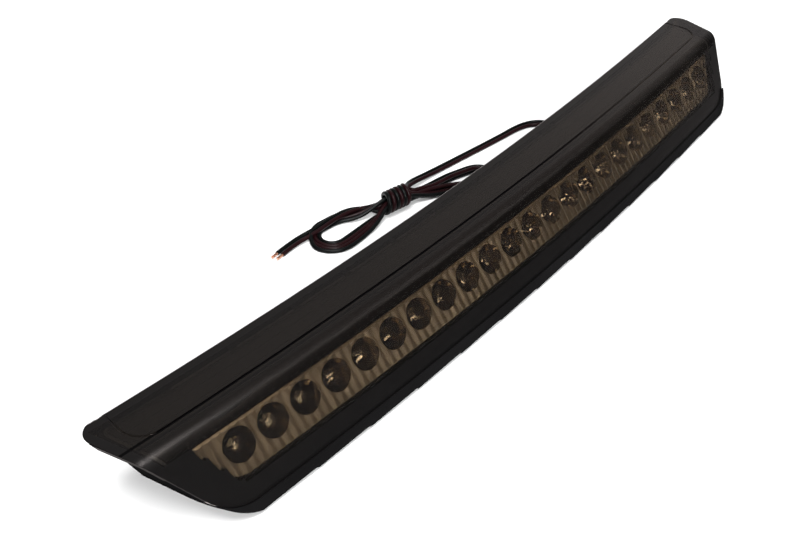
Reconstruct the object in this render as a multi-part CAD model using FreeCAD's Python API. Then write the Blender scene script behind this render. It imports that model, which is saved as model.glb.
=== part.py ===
import FreeCAD, Part
import math
import os
from FreeCAD import Vector

# Curved LED tail light bar: a smoked L-shaped lens over a black tray, with a metallised
# reflector, a row of round LEDs on a strip board, and a two-wire lead tied in a hank.
# Millimetres. +X runs along the bar, -Y is the side that shines, +Z is up from the base.
# Section points are (v, z): v behind the bar's centre line, z up. s is a distance along the
# bow from the middle, down a distance down the sloping face, depth a distance behind it.

# --- the bar's bow and its cross-section --------------------------------------------------
bow_radius = 2030.0        # plan radius of the bar's centre line; the LED side is convex
middle_y = -3.9            # where the centre line crosses x = 0
top_z = 27.0               # top of the lens above the mounting surface
rear_v = 21.6              # rear edge of the lens, behind the centre line
ridge_v = -2.3             # where the top and the sloping face would meet, unrounded
toe_v = -21.6              # bottom front edge of the tray
base_z = 0.6               # underside of the tray, held up by the adhesive tape
ridge_radius = 6.0
lens_thickness = 2.2
wall = 2.0
overhang = 1.5             # how far the lens stands past the tray's rear wall
rim_height = 4.4           # the lens's border turns down this far round the rear and the ends
rim_gap = 0.2
lens_foot = 28.1           # the lens ends this far down the face, where the tray's lip starts
lens_rear_radius = 0.8
lip_top = 8.5              # the tray's outside wraps the face from here down
lip_proud = 0.8            # how far the lip stands out from the lens
toe_radius = 0.8
fit_gap = 0.1

# --- ends of the bar: half lengths at the ridge and at the toe ------------------------------
face_height = math.hypot(ridge_v - toe_v, top_z)
lens_end = (169.8, 150.6)
tray_end = (167.6, 151.2)
lens_corner_radius = 17.0
tray_corner_radius = 22.0
cavity_corner_radius = 14.0
cavity_foot = 28.0
lens_rear_corner_radius = 5.5
tray_rear_corner_radius = 4.0
cavity_rear_corner_radius = 2.0
longest_half = 190.0

# --- panel groove in the lens's top -----------------------------------------------------------
groove_v = 4.1
groove_half = 167.0
groove_width = 0.7
groove_depth = 0.4
groove_corner_radius = 9.0

# --- sealing bead under the lens's border -------------------------------------------------------
bead_width = 1.0
bead_height = 1.0
bead_foot = 26.2

# --- window, reflector and LEDs -------------------------------------------------------------
window_top = 5.1
window_foot = 21.4
window_end = (160.5, 141.3)
window_corner_radius = 9.0
window_shift = 2.0         # the window and the LEDs stand a little to the right of the middle
led_count = 23
led_pitch = 13.1
led_shift = 3.7
led_row = 12.4             # distance of the LED row down the face
bezel_depths = (2.7, 3.9)
bezel_inset = 1.4          # gap between the bezel's edge and the tray's walls
bezel_foot = 24.6
bezel_corner_radius = 12.0
rib_places = (4.0, 8.5, 13.0)
rib_width = 0.8
rib_height = 0.3
reflector_depths = (3.9, 5.1)
reflector_span = (3.0, 24.5)
reflector_end = (164.5, 147.5)
reflector_corner_radius = 5.0
cup_mouth_radius = 5.6
cup_throat_radius = 2.9
cup_depth = 7.0
cup_wall = 0.9
board_depths = (13.0, 14.6)
board_span = (4.6, 18.4)
board_half = 152.0
led_radius = 2.5
led_height = 8.6
led_rim_radius = 2.9
led_rim_height = 1.0
led_lead_offset = 1.27
led_lead_width = 0.5
lead_hole_radius = 0.45

# --- parts soldered to the back of the board ----------------------------------------------------
resistor_places = (-133.0, -95.0, -57.0, -19.0, 19.0, 57.0, 95.0, 133.0)
resistor_row = 7.2
resistor_size = (1.2, 6.3, 1.3, 0.3, 4.8)     # body radius and length, rise, leg radius, leg reach
diode_place = 74.0
diode_row = 15.6
diode_size = (1.35, 5.2, 1.5, 0.4, 4.1)
joint_height = 0.9
joint_radii = (0.9, 0.4)
pad_row = 9.0
pad_joint_height = 1.8
pad_joint_radii = (0.95, 0.85)

# --- fasteners ------------------------------------------------------------------------------
board_screw_gaps = (-0.5, 5.5, 11.5, 16.5, 21.5)   # where they stand between the LEDs
board_screw_row = 6.2
board_screw_length = 6.0
board_screw_radius = 0.78
board_screw_head = (1.9, 1.4)                      # radius and height
board_post_radius = 2.0
bezel_screw_places = (-130.0, -50.0, 50.0, 130.0)
bezel_screw_v = 13.5
bezel_screw_length = 12.5
bezel_screw_radius = 1.1
bezel_screw_head = (2.2, 1.8)
counterbore_top = 8.0      # the bezel screws' heads sit this high inside the hollow posts
post_top_z = 14.0
post_radius = 3.2
boss_radius = 2.6
stake_places = (-136.5, -65.0, 0.0, 65.0, 136.5)
stake_row = 23.0
stake_radius = 0.9
stake_head = (1.5, 0.8)
cross_half_width = 0.22

# --- adhesive tape --------------------------------------------------------------------------
tape_spans = ((-17.0, -7.0), (-2.0, 8.0))
tape_thickness = 1.1
tape_half = 140.0
tape_play = 0.2

# --- wires ----------------------------------------------------------------------------------
wire_diameter = 1.7
wire_spacing = 2.0
wire_hole_gap = 0.02
exit_s = 86.0
exit_z = 5.6
grommet_flange_radius = 4.0
grommet_flange_width = 1.5
grommet_neck_radius = 2.8
grommet_face_v = rear_v - overhang + grommet_flange_width
tip_diameter = 1.1
tip_length = 3.5

# The route of each wire from the grommet to the hank, and from the hank to its bare end.
black_lead_route = [(86.9, 27.0, 5.4), (87.4, 35.5, 2.6), (86.2, 43.4, 0.9), (78.6, 47.0, 0.9),
                    (64.5, 48.2, 0.9), (43.0, 51.2, 0.9), (22.5, 54.0, 1.0), (7.0, 54.2, 3.4)]
red_lead_route = [(84.7, 26.8, 5.4), (85.2, 34.8, 2.6), (84.4, 41.6, 0.9), (77.6, 45.2, 0.9),
                  (64.0, 46.5, 0.9), (42.5, 49.5, 0.9), (22.0, 52.2, 1.0), (7.5, 52.4, 3.6)]
black_tail_route = [(-39.5, 62.2, 2.4), (-49.5, 64.9, 1.0), (-59.0, 64.0, 0.9)]
red_tail_route = [(-41.5, 59.9, 2.2), (-50.5, 60.9, 1.0), (-58.3, 61.3, 0.9)]

# The hank's outer shape: two loops lying flat and a wrapped waist where they meet.
# Each loop is a drop: centre and radius of its far end, then of its narrow end.
left_loop = ((-37.0, 54.8, 10.2), (-7.0, 49.5, 5.2))
left_hole = ((-36.8, 55.4, 4.0), (-24.0, 51.6, 1.0))
right_loop = ((33.5, 36.5, 9.2), (-4.0, 49.0, 5.2))
right_hole = ((33.5, 36.5, 2.8), (20.0, 41.2, 0.8))
loop_height = 6.0
waist_start = Vector(-13.0, 50.6, 4.7)
waist_direction = Vector(1, -0.2, 0)
waist_length = 15.0
waist_radius = 4.7

slope = math.atan2(top_z, ridge_v - toe_v)
cos_slope = math.cos(slope)
sin_slope = math.sin(slope)
ALONG = Vector(1, 0, 0)
BACK = Vector(0, 1, 0)
UP = Vector(0, 0, 1)
ORIGIN = Vector(0, 0, 0)
bow_axis = Vector(0, middle_y + bow_radius, 0)
into_face = Vector(0, sin_slope, -cos_slope)
led_places = [led_shift + led_pitch * (i - (led_count - 1) / 2) for i in range(led_count)]
lead_places = [s + side * led_lead_offset for s in led_places for side in (-1, 1)]
board_screw_places = [led_places[0] + led_pitch * gap for gap in board_screw_gaps]
wire_pad_places = (exit_s + wire_spacing / 2, exit_s - wire_spacing / 2)


# --- helpers ----------------------------------------------------------------------------------
def on_face(down, depth):
    """Section point at a distance down the face from the ridge and a depth behind it."""
    v = ridge_v - cos_slope * down + sin_slope * depth
    z = top_z - sin_slope * down - cos_slope * depth
    return (v, z)


def ridge_at(depth):
    """Section point where the top and the face meet at a depth under the lens's outer skin."""
    return (ridge_v + depth * math.tan(slope / 2), top_z - depth)


def section(point):
    return Vector(0, middle_y + point[0], point[1])


def on_axis(down, depth):
    return section(on_face(down, depth))


def place(shape, s):
    """Turn a shape made at x = 0 to its place along the bow, s mm from the middle."""
    moved = shape.copy()
    moved.rotate(bow_axis, UP, math.degrees(s / bow_radius))
    return moved


def mirrored(shape):
    return shape.mirror(ORIGIN, ALONG)


def closed_edges(edges, stops):
    """A face bounded by the edges and by straight runs through the stops."""
    runs = [Part.LineSegment(a, b).toShape() for a, b in zip(stops, stops[1:])]
    return Part.Face(Part.Wire(edges + runs))


def rounded(corners):
    """Closed wire through (point, radius) corners, each rounded by an arc where radius > 0."""
    edges = []
    count = len(corners)
    last_end = None
    first_start = None
    for i, (corner, radius) in enumerate(corners):
        back = (corners[i - 1][0] - corner).normalize()
        ahead = (corners[(i + 1) % count][0] - corner).normalize()
        half_angle = back.getAngle(ahead) / 2
        run = radius / math.tan(half_angle)
        start = corner + back * run
        end = corner + ahead * run
        if last_end is not None:
            edges.append(Part.LineSegment(last_end, start).toShape())
        if radius > 0:
            bisector = (back + ahead).normalize()
            crown = corner + bisector * (radius / math.sin(half_angle) - radius)
            edges.append(Part.Arc(start, crown, end).toShape())
        if first_start is None:
            first_start = start
        last_end = end
    edges.append(Part.LineSegment(last_end, first_start).toShape())
    return Part.Wire(edges)


def bent(corners, s_from=-longest_half, s_to=longest_half):
    """Solid that follows the bow, from a section given as (v, z) or (v, z, corner radius)."""
    points = [(section(c), c[2] if len(c) > 2 else 0) for c in corners]
    face = Part.Face(rounded(points))
    solid = face.revolve(bow_axis, UP, math.degrees((s_to - s_from) / bow_radius))
    return place(solid, s_from)


def face_band(down_from, down_to, depth_from, depth_to, s_from=-longest_half, s_to=longest_half):
    corners = [on_face(down_from, depth_from), on_face(down_to, depth_from),
               on_face(down_to, depth_to), on_face(down_from, depth_to)]
    return bent(corners, s_from, s_to)


def end_waste(half, foot, radius):
    """What is cut off one end: all outside a slanted edge with a rounded lower corner."""
    in_front = -30
    above = -45
    beyond = 60
    lean = (half[0] - half[1]) / face_height
    edge = half[0] - lean * foot
    corner_turn = math.pi / 2 + math.atan(lean)
    tangent = radius / math.tan(corner_turn / 2)
    s_ref = edge - tangent

    def spot(s, down):
        return on_axis(down, in_front) + ALONG * (s - s_ref)

    slanted = math.hypot(lean, 1)
    arc_start = spot(s_ref, foot)
    arc_end = spot(edge + tangent * lean / slanted, foot - tangent / slanted)
    corner = spot(edge, foot)
    bisector = ((arc_start - corner).normalize() + (arc_end - corner).normalize()).normalize()
    crown = corner + bisector * (radius / math.sin(corner_turn / 2) - radius)
    stops = [arc_end, spot(half[0] - lean * above, above),
             spot(half[0] - lean * above + beyond, above), spot(edge + beyond, foot + beyond),
             spot(s_ref, foot + beyond), arc_start]
    outline = closed_edges([Part.Arc(arc_start, crown, arc_end).toShape()], stops)
    return place(outline.extrude(into_face * 120), s_ref)


def trimmed(solid, half, foot, radius):
    waste = end_waste(half, foot, radius)
    return solid.cut([waste, mirrored(waste)])


def inset(half, amount):
    return (half[0] - amount, half[1] - amount)


def pin(down, depth_from, depth_to, radius, s, radius_to=None):
    """Round pin or cone square to the face, at s along the bow."""
    start = on_axis(down, depth_from)
    length = depth_to - depth_from
    if radius_to is None:
        solid = Part.makeCylinder(radius, length, start, into_face)
    else:
        solid = Part.makeCone(radius, radius_to, length, start, into_face)
    return place(solid, s)


def upright(v, z_from, z_to, radius, s):
    return place(Part.makeCylinder(radius, z_to - z_from, section((v, z_from)), UP), s)


def save(name, shapes):
    """Write one node; several shapes become a group of separate solids."""
    parts = []
    for shape in shapes:
        parts.extend(shape.Solids)
    group = parts[0] if len(parts) == 1 else Part.makeCompound(parts)
    group.exportStep("parts/" + name + ".step")
    box = group.BoundBox
    print("%-17s %3d solids, volume %8.1f, valid %s, x %.1f..%.1f y %.1f..%.1f z %.1f..%.1f" % (
        name, len(parts), group.Volume, group.isValid(), box.XMin, box.XMax, box.YMin,
        box.YMax, box.ZMin, box.ZMax))


# --- lens ---------------------------------------------------------------------------------------
def corner_chip(corner, a, b, radius, climb):
    """Chip that rounds the corner between two edges leaving it along a and b."""
    half_angle = a.getAngle(b) / 2
    run = radius / math.tan(half_angle)
    bisector = (a + b).normalize()
    start = corner + a * run
    end = corner + b * run
    crown = corner + bisector * (radius / math.sin(half_angle) - radius)
    arc = Part.Arc(start, crown, end).toShape()
    stops = [end, end - a * 20, corner - (a + b) * 20, start - b * 20, start]
    return closed_edges([arc], stops).extrude(climb)


def rounded_rear(solid, half, rear, radius):
    """Round both rear corners of a slanted-ended solid, seen from above."""
    lean = (half[0] - half[1]) / face_height
    low_s = half[0] + lean * ((rear - ridge_v) * cos_slope - top_z * sin_slope)
    climb = (UP + ALONG * lean * sin_slope) * (top_z + 5)
    inward = (BACK + ALONG * lean * cos_slope).normalize() * -1
    chip = place(corner_chip(section((rear, 0)), ALONG * -1, inward, radius, climb), low_s)
    return solid.cut([chip, mirrored(chip)])


def panel_outline(front_v, half, radius):
    """Tall solid of a top panel with a bowed front edge and rounded front corners."""
    low_z = top_z - groove_depth
    slab = bent([(front_v, low_z), (rear_v + 5, low_z), (rear_v + 5, top_z + 5),
                 (front_v, top_z + 5)], -half, half)
    chip = place(corner_chip(section((front_v, low_z)), ALONG * -1, BACK, radius, UP * 20), half)
    return slab.cut([chip, mirrored(chip)])


def make_rim():
    """Border of the lens, turned down round the tray along the rear and both ends."""
    foot = lip_top - fit_gap
    inner_rear = rear_v - overhang + rim_gap
    block = bent([(rear_v, top_z, lens_rear_radius), (ridge_v, top_z, ridge_radius),
                  on_face(foot, 0), on_face(foot, rim_height),
                  ridge_at(rim_height) + (ridge_radius - rim_height,),
                  (rear_v, top_z - rim_height)])
    block = trimmed(block, lens_end, lens_foot, lens_corner_radius)
    core = bent([(inner_rear, top_z + 1), ridge_at(-1), on_face(foot + 1, -1),
                 on_face(foot + 1, rim_height + 1), ridge_at(rim_height + 1),
                 (inner_rear, top_z - rim_height - 1)])
    core_end = inset(tray_end, -rim_gap)
    core = trimmed(core, core_end, face_height, tray_corner_radius)
    return block.cut(rounded_rear(core, core_end, inner_rear, tray_rear_corner_radius))


def make_lens():
    inner_radius = ridge_radius - lens_thickness
    shell = bent([(rear_v, top_z, lens_rear_radius), (ridge_v, top_z, ridge_radius),
                  on_face(lens_foot, 0), on_face(lens_foot, lens_thickness),
                  ridge_at(lens_thickness) + (inner_radius,), (rear_v, top_z - lens_thickness)])
    shell = trimmed(shell, lens_end, lens_foot, lens_corner_radius).fuse(make_rim())
    shell = rounded_rear(shell.removeSplitter(), lens_end, rear_v, lens_rear_corner_radius)
    outer = panel_outline(groove_v, groove_half, groove_corner_radius)
    inner = panel_outline(groove_v + groove_width, groove_half - groove_width,
                          groove_corner_radius - groove_width)
    return shell.cut(outer.cut(inner))


# --- tray ---------------------------------------------------------------------------------------
def make_tray():
    rear = rear_v - overhang
    floor_z = base_z + wall
    body = bent([(rear, base_z), (rear, top_z - lens_thickness),
                 ridge_at(lens_thickness) + (ridge_radius - lens_thickness,),
                 on_face(lip_top, lens_thickness), on_face(lip_top, -lip_proud),
                 on_face(lens_foot + 1.5, -lip_proud), (toe_v, base_z, toe_radius)])
    body = trimmed(body, tray_end, face_height, tray_corner_radius)
    body = rounded_rear(body, tray_end, rear, tray_rear_corner_radius)
    lens_space = face_band(-8, lens_foot + fit_gap, -3, lens_thickness)
    lens_space = trimmed(lens_space, inset(lens_end, -fit_gap), lens_foot + fit_gap,
                         lens_corner_radius + fit_gap)
    cavity = bent([(rear - wall, floor_z), (rear - wall, top_z), ridge_at(lens_thickness),
                   on_face(bead_foot, lens_thickness), (-15.0, floor_z)])
    cavity_end = inset(tray_end, wall)
    cavity = trimmed(cavity, cavity_end, cavity_foot, cavity_corner_radius)
    cavity = rounded_rear(cavity, cavity_end, rear - wall, cavity_rear_corner_radius)
    posts = [upright(bezel_screw_v, floor_z - 0.1, post_top_z, post_radius, s)
             for s in bezel_screw_places]
    tray = body.cut([lens_space, cavity]).fuse(posts)
    holes = [upright(bezel_screw_v, base_z - 1, counterbore_top, boss_radius, s)
             for s in bezel_screw_places]
    holes += [upright(bezel_screw_v, counterbore_top - 1, post_top_z + 1, 1.2, s)
              for s in bezel_screw_places]
    holes += [bent(corners, -tape_half - 0.5, tape_half + 0.5) for corners in tape_recesses()]
    grommet_hole = Part.makeCylinder(grommet_neck_radius, 8, section((rear - 5, exit_z)), BACK)
    holes.append(place(grommet_hole, exit_s))
    return tray.cut(holes).removeSplitter()


def tape_recesses():
    low_z = base_z - 1
    return [[(a - tape_play, low_z), (b + tape_play, low_z), (b + tape_play, tape_thickness),
             (a - tape_play, tape_thickness)] for a, b in tape_spans]


def make_tape(span):
    a, b = span
    corners = [(a, 0), (b, 0), (b, tape_thickness), (a, tape_thickness)]
    return bent(corners, -tape_half, tape_half)


# --- sealing bead between lens and tray --------------------------------------------------------------
def bead_outline(shrink, front_depth, back_depth):
    rear = rear_v - overhang - wall - shrink
    foot = bead_foot - shrink
    band = bent([(rear, top_z - front_depth), ridge_at(front_depth), on_face(foot, front_depth),
                 on_face(foot, back_depth), ridge_at(back_depth), (rear, top_z - back_depth)])
    end = inset(tray_end, wall + shrink)
    band = trimmed(band, end, cavity_foot - shrink, cavity_corner_radius - shrink)
    return rounded_rear(band, end, rear, cavity_rear_corner_radius - shrink)


def make_sealant():
    back = lens_thickness + bead_height
    band = bead_outline(0, lens_thickness, back)
    return band.cut([bead_outline(bead_width, lens_thickness - 1, back + 1), make_lens()])


# --- bezel: black mask with the window, and the bosses that hold it ----------------------------------
def make_window():
    """Volume of the window: a band down the face with slanted ends and rounded lower corners."""
    band = face_band(window_top, window_foot, 0, 8)
    return place(trimmed(band, window_end, window_foot, window_corner_radius), window_shift)


def make_bezel():
    front, back = bezel_depths
    rear = rear_v - overhang - wall - bezel_inset
    skin_z = top_z - front
    mask = bent([(rear, skin_z), ridge_at(front) + (1.2,), on_face(bezel_foot, front),
                 on_face(bezel_foot, back), ridge_at(back), (rear, top_z - back)])
    ribs = [bent([(v, skin_z - 0.2), (v + rib_width, skin_z - 0.2),
                  (v + rib_width, skin_z + rib_height), (v, skin_z + rib_height)])
            for v in rib_places]
    mask = trimmed(mask.fuse(ribs), inset(tray_end, wall + bezel_inset), cavity_foot - 2,
                   bezel_corner_radius)
    mask = mask.cut(make_window())
    bosses = [upright(bezel_screw_v, post_top_z + 0.2, top_z - back + 0.1, boss_radius, s)
              for s in bezel_screw_places]
    reflector_back = reflector_depths[1]
    stakes = []
    for s in stake_places:
        stakes.append(pin(stake_row, back - 0.1, reflector_back + 0.1, stake_radius, s))
        stakes.append(pin(stake_row, reflector_back, reflector_back + stake_head[1],
                          stake_head[0], s, stake_radius))
    holes = [upright(bezel_screw_v, post_top_z - 1, 21.0, bezel_screw_radius + 0.02, s)
             for s in bezel_screw_places]
    return mask.fuse(bosses + stakes).cut(holes).removeSplitter()


# --- reflector: metallised strip with a cup round each LED ---------------------------------------------
def make_reflector():
    front, back = reflector_depths
    throat = front + cup_depth
    board = board_depths[0]
    plate = face_band(reflector_span[0], reflector_span[1], front, back)
    plate = trimmed(plate, reflector_end, reflector_span[1], reflector_corner_radius)
    cups = [pin(led_row, front, throat, cup_mouth_radius + cup_wall, s,
                cup_throat_radius + cup_wall) for s in led_places]
    posts = [pin(board_screw_row, back - 0.1, board, board_post_radius, s)
             for s in board_screw_places]
    bowls = [pin(led_row, front - 0.01, throat + 0.01, cup_mouth_radius, s, cup_throat_radius)
             for s in led_places]
    screw_holes = [pin(board_screw_row, board - 5.5, board + 1, board_screw_radius + 0.02, s)
                   for s in board_screw_places]
    stake_holes = [pin(stake_row, front - 1, back + 1, stake_radius + 0.05, s)
                   for s in stake_places]
    return plate.fuse(cups + posts).cut(bowls + screw_holes + stake_holes)


# --- strip board, LEDs and what is soldered to it ---------------------------------------------------------
def make_board():
    front, back = board_depths
    strip = face_band(board_span[0], board_span[1], front, back, -board_half, board_half)
    strip = place(strip, led_shift)
    holes = [pin(led_row, front - 1, back + 1, lead_hole_radius, s) for s in lead_places]
    holes += [pin(board_screw_row, front - 1, back + 1, board_screw_radius + 0.27, s)
              for s in board_screw_places]
    return strip.cut(holes)


def make_led(s):
    base = board_depths[0]
    dome_depth = base - led_height + led_radius
    rim = pin(led_row, base - led_rim_height, base, led_rim_radius, s)
    barrel = pin(led_row, dome_depth, base - 0.5, led_radius, s)
    dome = place(Part.makeSphere(led_radius, on_axis(led_row, dome_depth)), s)
    return barrel.fuse([dome, rim]).removeSplitter()


def make_lead(s):
    half = led_lead_width / 2
    return face_band(led_row - half, led_row + half, board_depths[0], board_depths[1],
                     s - half, s + half)


def make_axial(row, s, size):
    """Resistor or diode lying on the back of the board, with bent legs down to it."""
    radius, length, rise, leg_radius, reach = size
    axis = on_axis(row, board_depths[1] + rise)
    body = Part.makeCylinder(radius, length, axis - ALONG * length / 2, ALONG)
    wires = [Part.makeCylinder(leg_radius, 2 * reach + leg_radius, axis - ALONG *
                               (reach + leg_radius / 2), ALONG)]
    for x in (-reach, reach):
        start = axis + ALONG * x - into_face * (rise - 0.05)
        wires.append(Part.makeCylinder(leg_radius, rise + 0.15, start, into_face))
    return place(body.fuse(wires), s)


def make_solder():
    back = board_depths[1]
    joints = [pin(led_row, back, back + joint_height, joint_radii[0], s, joint_radii[1])
              for s in lead_places]
    joints += [pin(pad_row, back, back + pad_joint_height, pad_joint_radii[0], s,
                   pad_joint_radii[1]) for s in wire_pad_places]
    return joints


def make_screw(origin, into, head, shank_radius, length):
    """Pan-head self-tapping screw with a cross recess; into points along the shank."""
    head_radius, head_height = head
    body = Part.makeCylinder(head_radius, head_height, origin - into * head_height, into)
    shank = Part.makeCylinder(shank_radius, length - 1.0, origin, into)
    point = Part.makeCone(shank_radius, 0.25, 1.0, origin + into * (length - 1.0), into)
    screw = body.fuse([shank, point])
    side = into.cross(ALONG).normalize()
    reach = head_radius * 0.6
    half = cross_half_width
    for a, b in ((side, ALONG), (ALONG, side)):
        corner = origin - into * (head_height + 0.1) - a * reach - b * half
        stops = [corner, corner + a * 2 * reach, corner + a * 2 * reach + b * 2 * half,
                 corner + b * 2 * half, corner]
        slot = closed_edges([], stops).extrude(into * (head_height * 0.6))
        screw = screw.cut(slot)
    return screw


def make_board_screws():
    start = on_axis(board_screw_row, board_depths[1])
    screw = make_screw(start, into_face * -1, board_screw_head, board_screw_radius,
                       board_screw_length)
    return [place(screw, s) for s in board_screw_places]


def make_bezel_screws():
    start = section((bezel_screw_v, counterbore_top))
    screw = make_screw(start, UP, bezel_screw_head, bezel_screw_radius, bezel_screw_length)
    return [place(screw, s) for s in bezel_screw_places]


# --- wires ----------------------------------------------------------------------------------------
def tube(name, points, diameter):
    """Round tube along straight runs joined by tangent arcs; prints its tightest bends."""
    corners = [Vector(*p) for p in points]
    edges = []
    radii = []
    last = corners[0]
    for a, b, c in zip(corners, corners[1:], corners[2:]):
        back = (a - b).normalize()
        ahead = (c - b).normalize()
        turn = math.pi - back.getAngle(ahead)
        run = 0.45 * min((a - b).Length, (c - b).Length)
        radius = run / math.tan(turn / 2)
        radii.append(round(radius, 1))
        bisector = (back + ahead).normalize()
        crown = b + bisector * (radius / math.cos(turn / 2) - radius)
        start = b + back * run
        end = b + ahead * run
        edges.append(Part.LineSegment(last, start).toShape())
        edges.append(Part.Arc(start, crown, end).toShape())
        last = end
    edges.append(Part.LineSegment(last, corners[-1]).toShape())
    path = Part.Wire(edges)
    first = corners[0]
    ring = Part.Circle(first, corners[1] - first, diameter / 2).toShape()
    solid = path.makePipeShell([Part.Wire([ring])], True, False)
    ideal = math.pi * diameter ** 2 / 4 * path.Length
    print("%s: length %.1f, radii %s, volume ratio %.4f" % (
        name, path.Length, radii, solid.Volume / ideal))
    return solid


def coordinates(vector):
    return (vector.x, vector.y, vector.z)


def at_bow(point, s):
    """Coordinates of a point made at x = 0 and turned to its place along the bow."""
    return coordinates(place(Part.Vertex(point), s).Point)


def exit_point(offset, v):
    """Point on a wire's line through the grommet, v from the bar's centre line."""
    return at_bow(section((v, exit_z)), exit_s + offset)


def make_grommet():
    rear = rear_v - overhang
    flange = Part.makeCylinder(grommet_flange_radius, grommet_flange_width,
                               section((rear, exit_z)), BACK)
    flange = flange.makeFillet(0.5, [flange.Edges[0]])
    neck = Part.makeCylinder(grommet_neck_radius - 0.03, wall + 2.1,
                             section((rear - wall - 2, exit_z)), BACK)
    bush = place(flange.fuse(neck), exit_s)
    for offset in (-wire_spacing / 2, wire_spacing / 2):
        start = Vector(*exit_point(offset, rear - wall - 3))
        stop = Vector(*exit_point(offset, rear + 3))
        hole = Part.makeCylinder(wire_diameter / 2 + wire_hole_gap, (stop - start).Length,
                                 start, stop - start)
        bush = bush.cut(hole)
    return bush


def make_inner_wire(name, offset):
    """Wire from the grommet's outer face to its pad on the back of the board."""
    pad_depth = board_depths[1] + pad_joint_height
    pad_z = on_face(pad_row, board_depths[1])[1]
    bend_depth = board_depths[1] + (pad_z - exit_z) / cos_slope
    points = [exit_point(offset, grommet_face_v),
              at_bow(on_axis(pad_row, bend_depth), exit_s + offset),
              at_bow(on_axis(pad_row, pad_depth), exit_s + offset)]
    return tube(name, points, wire_diameter)


def drop(far, near, height):
    """Upright solid over the outline of two circles and their outer tangents."""
    a = Vector(far[0], far[1], 0)
    b = Vector(near[0], near[1], 0)
    axis = b - a
    lean = (far[2] - near[2]) / axis.Length
    axis.normalize()
    side = Vector(-axis.y, axis.x, 0) * math.sqrt(1 - lean * lean)
    left = axis * lean + side
    right = axis * lean - side
    far_left = a + left * far[2]
    far_right = a + right * far[2]
    near_left = b + left * near[2]
    near_right = b + right * near[2]
    arcs = [Part.Arc(far_left, a - axis * far[2], far_right).toShape(),
            Part.LineSegment(far_right, near_right).toShape(),
            Part.Arc(near_right, b + axis * near[2], near_left).toShape()]
    return closed_edges(arcs, [near_left, far_left]).extrude(UP * height)


def make_hank():
    """Outer shape of the tied hank: two loops lying flat, drawn in at a wrapped waist."""
    left = drop(*left_loop, loop_height).cut(drop(*left_hole, loop_height))
    right = drop(*right_loop, loop_height).cut(drop(*right_hole, loop_height))
    waist = Part.makeCylinder(waist_radius, waist_length, waist_start, waist_direction)
    return left.fuse([right, waist]).removeSplitter()


def make_tip(route):
    end = Vector(*route[-1])
    along = (end - Vector(*route[-2])).normalize()
    return Part.makeCylinder(tip_diameter / 2, tip_length, end, along)


os.makedirs("parts", exist_ok=True)

save("tray", [make_tray()])
save("smoked_lens", [make_lens()])
save("lens_sealant", [make_sealant()])
save("window_bezel", [make_bezel()])
save("reflector", [make_reflector()])
save("led_board", [make_board()])
save("led_lamps", [make_led(s) for s in led_places])
save("led_leads", [make_lead(s) for s in lead_places])
save("resistors", [make_axial(resistor_row, s, resistor_size) for s in resistor_places])
save("reverse_diode", [make_axial(diode_row, diode_place, diode_size)])
save("solder_joints", make_solder())
save("board_screws", make_board_screws())
save("bezel_screws", make_bezel_screws())
save("front_tape", [make_tape(tape_spans[0])])
save("rear_tape", [make_tape(tape_spans[1])])
save("wire_grommet", [make_grommet()])

hank = make_hank()
save("wire_hank", [hank])
for colour, offset, lead_route, tail_route in (
        ("black", wire_spacing / 2, black_lead_route, black_tail_route),
        ("red", -wire_spacing / 2, red_lead_route, red_tail_route)):
    inner = "inner_" + colour + "_wire"
    lead = colour + "_lead"
    tail = colour + "_tail"
    save(inner, [make_inner_wire(inner, offset)])
    lead_points = [exit_point(offset, grommet_face_v)] + lead_route
    save(lead, [tube(lead, lead_points, wire_diameter).cut(hank)])
    save(tail, [tube(tail, tail_route, wire_diameter).cut(hank)])
    save(colour + "_wire_tip", [make_tip(tail_route)])
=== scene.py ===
"""Looks of the curved LED tail light bar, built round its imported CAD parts.

Metres, in the part's own frame: +X along the bar, -Y is the side that shines, +Z is up.
"""
import math

import bmesh
import bpy
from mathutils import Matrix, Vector


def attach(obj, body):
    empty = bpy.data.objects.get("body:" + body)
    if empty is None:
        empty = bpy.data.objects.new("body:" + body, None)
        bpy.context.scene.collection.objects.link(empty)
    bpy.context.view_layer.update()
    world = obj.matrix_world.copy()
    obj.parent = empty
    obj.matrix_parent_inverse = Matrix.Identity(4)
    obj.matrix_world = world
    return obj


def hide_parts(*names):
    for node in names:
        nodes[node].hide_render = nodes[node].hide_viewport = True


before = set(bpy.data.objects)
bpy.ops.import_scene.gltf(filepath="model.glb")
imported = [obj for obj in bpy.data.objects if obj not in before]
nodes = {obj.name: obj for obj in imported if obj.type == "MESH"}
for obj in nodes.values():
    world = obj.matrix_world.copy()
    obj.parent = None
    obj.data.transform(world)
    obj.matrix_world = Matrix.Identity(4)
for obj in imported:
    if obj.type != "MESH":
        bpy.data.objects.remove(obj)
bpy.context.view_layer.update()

MM = 0.001

# --- the bar's bow and its sloping face, as in the CAD part --------------------------------
BOW_RADIUS = 2.030
MIDDLE_Y = -0.0039
TOP_Z = 0.027
RIDGE_V = -0.0023
SLOPE = math.atan2(27.0, 19.3)
FACE_HEIGHT = math.hypot(19.3, 27.0) * MM
LENS_END = (169.8 * MM, 150.6 * MM)
REAR_V = 21.6 * MM
LED_COUNT = 23
LED_PITCH = 0.0131
LED_SHIFT = 0.0037
LED_ROW = 0.0124
LED_PLACES = [LED_SHIFT + LED_PITCH * (i - (LED_COUNT - 1) / 2) for i in range(LED_COUNT)]
FLUTES_PER_LED = 4
FLUTE_PITCH = LED_PITCH / FLUTES_PER_LED


def along_bow(s, v, z):
    """Point s along the bow, v behind its centre line and z up."""
    turn = s / BOW_RADIUS
    reach = BOW_RADIUS - v
    return Vector((reach * math.sin(turn), MIDDLE_Y + BOW_RADIUS - reach * math.cos(turn), z))


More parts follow.
